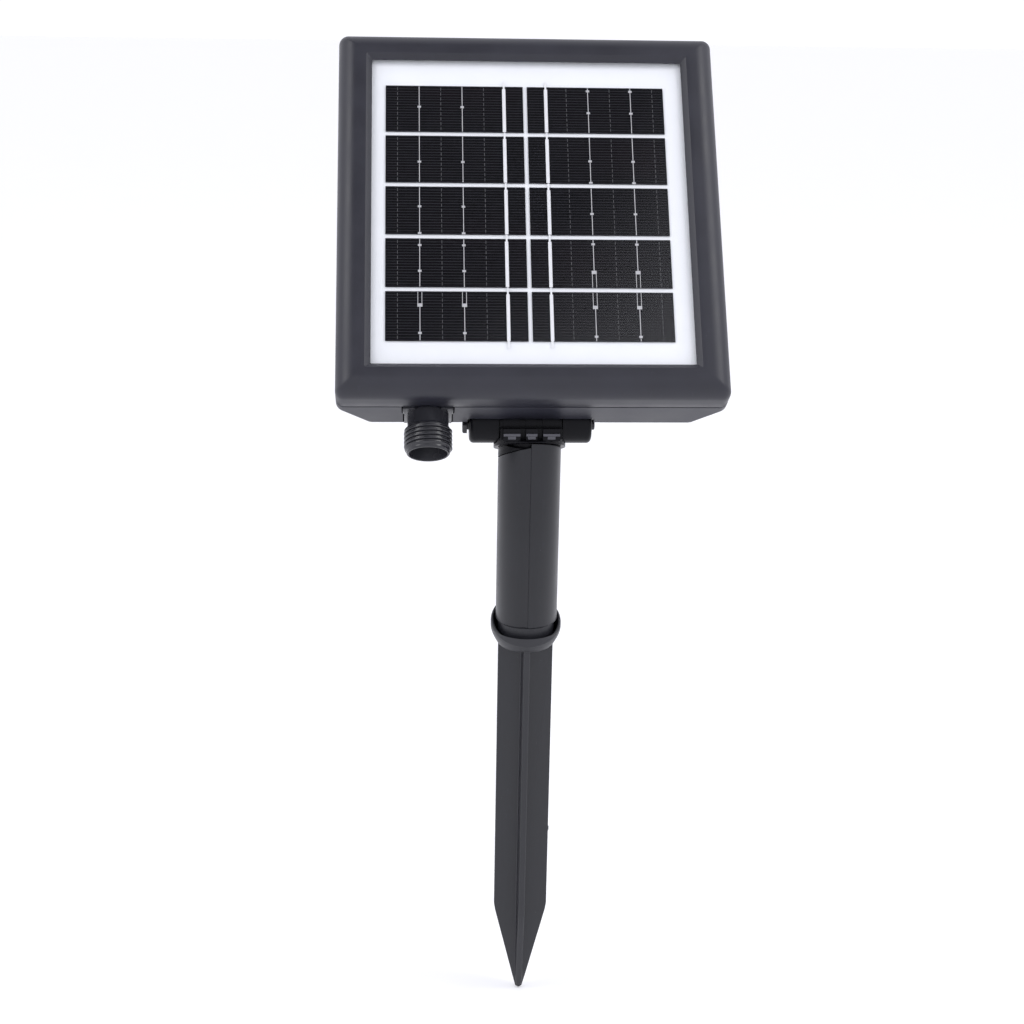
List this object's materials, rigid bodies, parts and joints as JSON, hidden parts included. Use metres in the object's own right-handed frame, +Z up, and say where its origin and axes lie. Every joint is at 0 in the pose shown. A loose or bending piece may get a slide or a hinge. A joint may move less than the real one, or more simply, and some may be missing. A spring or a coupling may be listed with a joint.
{
  "type": "solar power unit on a ground stake",
  "caption": "Framed solar panel housing with a threaded outlet in its bottom wall, on a tilting bracket, a round pole and a cross-section ground stake.",
  "frame": {"origin": "on the pole axis at the soil line, where the stake's blade leaves its collar", "axes": "+Z up along the pole and -Z down the stake; the panel faces -Y and up; +X to the right seen from the front"},
  "size_m": [0.165, 0.1238, 0.4326],
  "materials": {
    "housing_black": "fine spark-eroded texture, satin",
    "shell_black": "fine matte texture",
    "smooth_black": "moulded, semi-gloss",
    "pole_black": "drawn satin",
    "stake_black": "moulded satin",
    "clear_cover": "clear, glossy",
    "solar_cell": "dark monocrystalline silicon with fine silver grid",
    "white_backsheet": "white laminate",
    "tinned_ribbon": "tinned copper",
    "rubber_seal": "matte rubber",
    "battery_sleeve": "shrink sleeve",
    "circuit_board": "solder mask",
    "chip_black": "moulded package",
    "white_plastic": "moulded connector",
    "steel": "zinc plated",
    "brass": "bright",
    "lead_red": "PVC insulation",
    "lead_black": "PVC insulation"
  },
  "bodies": {
    "stake": {"ground_stake": "stake_black"},
    "pole": {"pole_tube": "pole_black"},
    "head": {"tilt_head": "smooth_black"},
    "panel": {"front_bezel": "housing_black", "rear_shell": "shell_black", "housing_gasket": "rubber_seal", "clear_cover": "clear_cover", "cover_seal": "rubber_seal", "cell_backsheet": "white_backsheet", "cell_left_1": "solar_cell", "cell_left_2": "solar_cell", "cell_left_3": "solar_cell", "cell_left_4": "solar_cell", "cell_left_5": "solar_cell", "cell_right_1": "solar_cell", "cell_right_2": "solar_cell", "cell_right_3": "solar_cell", "cell_right_4": "solar_cell", "cell_right_5": "solar_cell", "cell_ribbon_left": "tinned_ribbon", "cell_ribbon_right": "tinned_ribbon", "outlet_socket": "smooth_black", "outlet_insert": "smooth_black", "outlet_seal_ring": "rubber_seal", "outlet_pin_1": "brass", "outlet_pin_2": "brass", "battery_cell": "battery_sleeve", "battery_cradle": "smooth_black", "control_board": "circuit_board", "board_chip": "chip_black", "board_coil": "chip_black", "board_capacitor": "steel", "board_plug_battery": "white_plastic", "board_plug_panel": "white_plastic", "board_plug_outlet": "white_plastic", "board_screw_1": "steel", "board_screw_2": "steel", "battery_lead_red": "lead_red", "battery_lead_black": "lead_black", "panel_lead_red": "lead_red", "panel_lead_black": "lead_black", "outlet_lead_red": "lead_red", "outlet_lead_black": "lead_black", "housing_screw_1": "steel", "housing_screw_2": "steel", "housing_screw_3": "steel", "housing_screw_4": "steel", "hinge_bracket": "smooth_black", "bracket_screw_1": "steel", "bracket_screw_2": "steel", "bracket_screw_3": "steel", "bracket_screw_4": "steel", "pivot_bolt": "smooth_black", "pivot_nut": "steel", "pivot_washer_left": "rubber_seal", "pivot_washer_right": "rubber_seal"}
  },
  "joints": [
    {"name": "pole_swivel", "type": "hinge", "parent": "stake", "child": "pole", "pos_m": [0, 0, 0.0109], "axis": [0, 0, 1], "continuous": true},
    {"name": "head_lift", "type": "slide", "parent": "pole", "child": "head", "axis": [0, 0, 1], "range_m": [0, 0.024]},
    {"name": "panel_tilt", "type": "hinge", "parent": "head", "child": "panel", "pos_m": [0, 0, 0.0999], "axis": [1, 0, 0], "range_deg": [-42, 24]}
  ]
}
